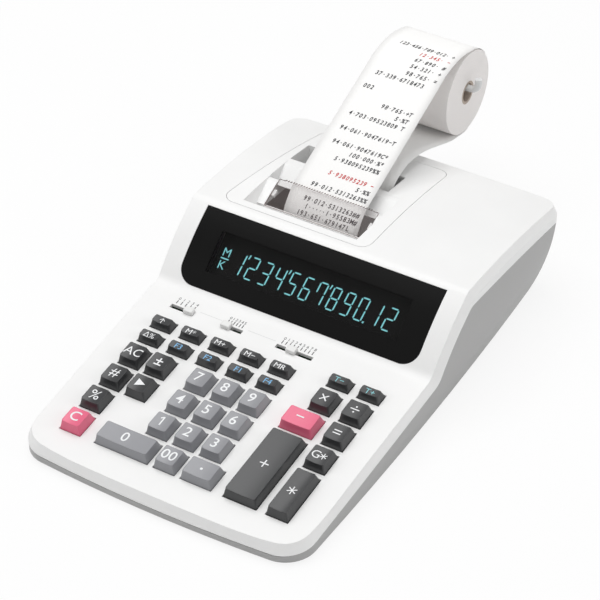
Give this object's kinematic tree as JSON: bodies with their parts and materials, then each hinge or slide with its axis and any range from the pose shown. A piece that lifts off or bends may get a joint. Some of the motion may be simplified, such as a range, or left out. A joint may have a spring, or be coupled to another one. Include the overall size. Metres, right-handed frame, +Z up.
{
  "type": "printing desk calculator",
  "caption": "Desk calculator with inclined key panel, slide switches, bulged display window and a drum printer fed from a paper roll on a bent rod.",
  "frame": {"origin": "on the desk, under the middle of the whole part's outline", "axes": "+X to the user's right, +Y away from the user towards the paper roll, +Z up"},
  "size_m": [0.2124, 0.4246, 0.1253],
  "materials": {
    "housing_white": "fine satin moulded plastic",
    "housing_grey": "fine grained moulded plastic",
    "cover_white": "fine satin moulded plastic",
    "smoked_clear": "clear smoked",
    "window_dark": "gloss",
    "tube_glass": "gloss",
    "switch_white": "satin",
    "key_grey": "satin",
    "key_pink": "satin",
    "key_charcoal": "satin",
    "paper": "matt",
    "rod_white": "white coated rod",
    "frame_steel": "zinc plated",
    "rubber_black": "ground",
    "drum_dark": "satin",
    "ink_felt": "inked felt",
    "motor_steel": "drawn can",
    "board_green": "solder mask",
    "mat_rubber": "silicone",
    "iron": "varnished",
    "gland_black": "satin",
    "foot_rubber": "matt",
    "screw_steel": "blackened"
  },
  "bodies": {
    "housing": {"upper_housing": "housing_white", "lower_housing": "housing_grey", "printer_cover": "cover_white", "paper_cutter": "smoked_clear", "display_window": "window_dark", "display_tube": "tube_glass", "paper_web": "paper", "roll_holder": "rod_white", "printer_frame": "frame_steel", "drive_motor": "motor_steel", "main_board": "board_green", "key_mat": "mat_rubber", "power_transformer": "iron", "cord_gland": "gland_black", "rubber_feet": "foot_rubber", "case_screws": "screw_steel"},
    "print_switch": {"switch_print": "switch_white"},
    "round_switch": {"switch_round": "switch_white"},
    "decimal_switch": {"switch_decimal": "switch_white"},
    "roll": {"paper_roll": "paper"},
    "platen": {"platen_roller": "rubber_black"},
    "drum": {"print_drum": "drum_dark"},
    "ink": {"ink_roller": "ink_felt"},
    "key_0_cap": {"key_0": "key_grey"},
    "key_1_cap": {"key_1": "key_grey"},
    "key_2_cap": {"key_2": "key_grey"},
    "key_3_cap": {"key_3": "key_grey"},
    "key_4_cap": {"key_4": "key_grey"},
    "key_5_cap": {"key_5": "key_grey"},
    "key_6_cap": {"key_6": "key_grey"},
    "key_7_cap": {"key_7": "key_grey"},
    "key_8_cap": {"key_8": "key_grey"},
    "key_9_cap": {"key_9": "key_grey"},
    "key_00_cap": {"key_00": "key_grey"},
    "key_point_cap": {"key_point": "key_grey"},
    "key_c_cap": {"key_c": "key_pink"},
    "key_minus_cap": {"key_minus": "key_pink"},
    "key_plus_cap": {"key_plus": "key_charcoal"},
    "key_total_cap": {"key_total": "key_charcoal"},
    "key_percent_cap": {"key_percent": "key_charcoal"},
    "key_subtotal_cap": {"key_subtotal": "key_charcoal"},
    "key_shift_cap": {"key_shift": "key_charcoal"},
    "key_grand_cap": {"key_grand": "key_charcoal"},
    "key_clear_all_cap": {"key_clear_all": "key_charcoal"},
    "key_markup_cap": {"key_markup": "key_charcoal"},
    "key_equals_cap": {"key_equals": "key_charcoal"},
    "key_times_cap": {"key_times": "key_charcoal"},
    "key_divide_cap": {"key_divide": "key_charcoal"},
    "key_tax_minus_cap": {"key_tax_minus": "key_charcoal"},
    "key_tax_plus_cap": {"key_tax_plus": "key_charcoal"},
    "key_low_1_cap": {"key_low_1": "key_charcoal"},
    "key_low_2_cap": {"key_low_2": "key_charcoal"},
    "key_low_3_cap": {"key_low_3": "key_charcoal"},
    "key_low_4_cap": {"key_low_4": "key_charcoal"},
    "key_low_5_cap": {"key_low_5": "key_charcoal"},
    "key_high_1_cap": {"key_high_1": "key_charcoal"},
    "key_high_2_cap": {"key_high_2": "key_charcoal"},
    "key_high_3_cap": {"key_high_3": "key_charcoal"},
    "key_high_4_cap": {"key_high_4": "key_charcoal"},
    "key_high_5_cap": {"key_high_5": "key_charcoal"}
  },
  "joints": [
    {"name": "switch_print_slide", "type": "slide", "parent": "housing", "child": "print_switch", "axis": [1, 0, 0], "range_m": [-0.0118, 0.0007]},
    {"name": "switch_round_slide", "type": "slide", "parent": "housing", "child": "round_switch", "axis": [1, 0, 0], "range_m": [-0.0008, 0.009]},
    {"name": "switch_decimal_slide", "type": "slide", "parent": "housing", "child": "decimal_switch", "axis": [1, 0, 0], "range_m": [-0.0091, 0.0124]},
    {"name": "roll_spin", "type": "hinge", "parent": "housing", "child": "roll", "pos_m": [-0.0254, 0.1813, 0.0906], "axis": [1, 0, 0], "continuous": true},
    {"name": "platen_spin", "type": "hinge", "parent": "housing", "child": "platen", "pos_m": [-0.0254, 0.0369, 0.044], "axis": [1, 0, 0], "continuous": true},
    {"name": "drum_spin", "type": "hinge", "parent": "housing", "child": "drum", "pos_m": [-0.0254, 0.0173, 0.044], "axis": [1, 0, 0], "continuous": true},
    {"name": "ink_spin", "type": "hinge", "parent": "housing", "child": "ink", "pos_m": [-0.0254, 0.0033, 0.035], "axis": [1, 0, 0], "continuous": true},
    {"name": "key_0_press", "type": "slide", "parent": "housing", "child": "key_0_cap", "axis": [0, 0.1335, -0.9911], "range_m": [0, 0.003], "stiffness_N_per_m": 200, "springref_m": -0.001},
    {"name": "key_1_press", "type": "slide", "parent": "housing", "child": "key_1_cap", "axis": [0, 0.1335, -0.9911], "range_m": [0, 0.003], "stiffness_N_per_m": 200, "springref_m": -0.001},
    {"name": "key_2_press", "type": "slide", "parent": "housing", "child": "key_2_cap", "axis": [0, 0.1335, -0.9911], "range_m": [0, 0.003], "stiffness_N_per_m": 200, "springref_m": -0.001},
    {"name": "key_3_press", "type": "slide", "parent": "housing", "child": "key_3_cap", "axis": [0, 0.1335, -0.9911], "range_m": [0, 0.003], "stiffness_N_per_m": 200, "springref_m": -0.001},
    {"name": "key_4_press", "type": "slide", "parent": "housing", "child": "key_4_cap", "axis": [0, 0.1335, -0.9911], "range_m": [0, 0.003], "stiffness_N_per_m": 200, "springref_m": -0.001},
    {"name": "key_5_press", "type": "slide", "parent": "housing", "child": "key_5_cap", "axis": [0, 0.1335, -0.9911], "range_m": [0, 0.003], "stiffness_N_per_m": 200, "springref_m": -0.001},
    {"name": "key_6_press", "type": "slide", "parent": "housing", "child": "key_6_cap", "axis": [0, 0.1335, -0.9911], "range_m": [0, 0.003], "stiffness_N_per_m": 200, "springref_m": -0.001},
    {"name": "key_7_press", "type": "slide", "parent": "housing", "child": "key_7_cap", "axis": [0, 0.1335, -0.9911], "range_m": [0, 0.003], "stiffness_N_per_m": 200, "springref_m": -0.001},
    {"name": "key_8_press", "type": "slide", "parent": "housing", "child": "key_8_cap", "axis": [0, 0.1335, -0.9911], "range_m": [0, 0.003], "stiffness_N_per_m": 200, "springref_m": -0.001},
    {"name": "key_9_press", "type": "slide", "parent": "housing", "child": "key_9_cap", "axis": [0, 0.1335, -0.9911], "range_m": [0, 0.003], "stiffness_N_per_m": 200, "springref_m": -0.001},
    {"name": "key_00_press", "type": "slide", "parent": "housing", "child": "key_00_cap", "axis": [0, 0.1335, -0.9911], "range_m": [0, 0.003], "stiffness_N_per_m": 200, "springref_m": -0.001},
    {"name": "key_point_press", "type": "slide", "parent": "housing", "child": "key_point_cap", "axis": [0, 0.1335, -0.9911], "range_m": [0, 0.003], "stiffness_N_per_m": 200, "springref_m": -0.001},
    {"name": "key_c_press", "type": "slide", "parent": "housing", "child": "key_c_cap", "axis": [0, 0.1335, -0.9911], "range_m": [0, 0.003], "stiffness_N_per_m": 200, "springref_m": -0.001},
    {"name": "key_minus_press", "type": "slide", "parent": "housing", "child": "key_minus_cap", "axis": [0, 0.1335, -0.9911], "range_m": [0, 0.003], "stiffness_N_per_m": 200, "springref_m": -0.001},
    {"name": "key_plus_press", "type": "slide", "parent": "housing", "child": "key_plus_cap", "axis": [0, 0.1335, -0.9911], "range_m": [0, 0.003], "stiffness_N_per_m": 200, "springref_m": -0.001},
    {"name": "key_total_press", "type": "slide", "parent": "housing", "child": "key_total_cap", "axis": [0, 0.1335, -0.9911], "range_m": [0, 0.003], "stiffness_N_per_m": 200, "springref_m": -0.001},
    {"name": "key_percent_press", "type": "slide", "parent": "housing", "child": "key_percent_cap", "axis": [0, 0.1335, -0.9911], "range_m": [0, 0.003], "stiffness_N_per_m": 200, "springref_m": -0.001},
    {"name": "key_subtotal_press", "type": "slide", "parent": "housing", "child": "key_subtotal_cap", "axis": [0, 0.1335, -0.9911], "range_m": [0, 0.003], "stiffness_N_per_m": 200, "springref_m": -0.001},
    {"name": "key_shift_press", "type": "slide", "parent": "housing", "child": "key_shift_cap", "axis": [0, 0.1335, -0.9911], "range_m": [0, 0.003], "stiffness_N_per_m": 200, "springref_m": -0.001},
    {"name": "key_grand_press", "type": "slide", "parent": "housing", "child": "key_grand_cap", "axis": [0, 0.1335, -0.9911], "range_m": [0, 0.003], "stiffness_N_per_m": 200, "springref_m": -0.001},
    {"name": "key_clear_all_press", "type": "slide", "parent": "housing", "child": "key_clear_all_cap", "axis": [0, 0.1335, -0.9911], "range_m": [0, 0.003], "stiffness_N_per_m": 200, "springref_m": -0.001},
    {"name": "key_markup_press", "type": "slide", "parent": "housing", "child": "key_markup_cap", "axis": [0, 0.1335, -0.9911], "range_m": [0, 0.003], "stiffness_N_per_m": 200, "springref_m": -0.001},
    {"name": "key_equals_press", "type": "slide", "parent": "housing", "child": "key_equals_cap", "axis": [0, 0.1335, -0.9911], "range_m": [0, 0.003], "stiffness_N_per_m": 200, "springref_m": -0.001},
    {"name": "key_times_press", "type": "slide", "parent": "housing", "child": "key_times_cap", "axis": [0, 0.1335, -0.9911], "range_m": [0, 0.003], "stiffness_N_per_m": 200, "springref_m": -0.001},
    {"name": "key_divide_press", "type": "slide", "parent": "housing", "child": "key_divide_cap", "axis": [0, 0.1335, -0.9911], "range_m": [0, 0.003], "stiffness_N_per_m": 200, "springref_m": -0.001},
    {"name": "key_tax_minus_press", "type": "slide", "parent": "housing", "child": "key_tax_minus_cap", "axis": [0, 0.1335, -0.9911], "range_m": [0, 0.003], "stiffness_N_per_m": 200, "springref_m": -0.001},
    {"name": "key_tax_plus_press", "type": "slide", "parent": "housing", "child": "key_tax_plus_cap", "axis": [0, 0.1335, -0.9911], "range_m": [0, 0.003], "stiffness_N_per_m": 200, "springref_m": -0.001},
    {"name": "key_low_1_press", "type": "slide", "parent": "housing", "child": "key_low_1_cap", "axis": [0, 0.1335, -0.9911], "range_m": [0, 0.003], "stiffness_N_per_m": 200, "springref_m": -0.001},
    {"name": "key_low_2_press", "type": "slide", "parent": "housing", "child": "key_low_2_cap", "axis": [0, 0.1335, -0.9911], "range_m": [0, 0.003], "stiffness_N_per_m": 200, "springref_m": -0.001},
    {"name": "key_low_3_press", "type": "slide", "parent": "housing", "child": "key_low_3_cap", "axis": [0, 0.1335, -0.9911], "range_m": [0, 0.003], "stiffness_N_per_m": 200, "springref_m": -0.001},
    {"name": "key_low_4_press", "type": "slide", "parent": "housing", "child": "key_low_4_cap", "axis": [0, 0.1335, -0.9911], "range_m": [0, 0.003], "stiffness_N_per_m": 200, "springref_m": -0.001},
    {"name": "key_low_5_press", "type": "slide", "parent": "housing", "child": "key_low_5_cap", "axis": [0, 0.1335, -0.9911], "range_m": [0, 0.003], "stiffness_N_per_m": 200, "springref_m": -0.001},
    {"name": "key_high_1_press", "type": "slide", "parent": "housing", "child": "key_high_1_cap", "axis": [0, 0.1335, -0.9911], "range_m": [0, 0.003], "stiffness_N_per_m": 200, "springref_m": -0.001},
    {"name": "key_high_2_press", "type": "slide", "parent": "housing", "child": "key_high_2_cap", "axis": [0, 0.1335, -0.9911], "range_m": [0, 0.003], "stiffness_N_per_m": 200, "springref_m": -0.001},
    {"name": "key_high_3_press", "type": "slide", "parent": "housing", "child": "key_high_3_cap", "axis": [0, 0.1335, -0.9911], "range_m": [0, 0.003], "stiffness_N_per_m": 200, "springref_m": -0.001},
    {"name": "key_high_4_press", "type": "slide", "parent": "housing", "child": "key_high_4_cap", "axis": [0, 0.1335, -0.9911], "range_m": [0, 0.003], "stiffness_N_per_m": 200, "springref_m": -0.001},
    {"name": "key_high_5_press", "type": "slide", "parent": "housing", "child": "key_high_5_cap", "axis": [0, 0.1335, -0.9911], "range_m": [0, 0.003], "stiffness_N_per_m": 200, "springref_m": -0.001}
  ],
  "couplings": [
    {"joint": "platen_spin", "follows": "roll_spin", "ratio": 3.875},
    {"joint": "ink_spin", "follows": "drum_spin", "ratio": -1.5765}
  ]
}
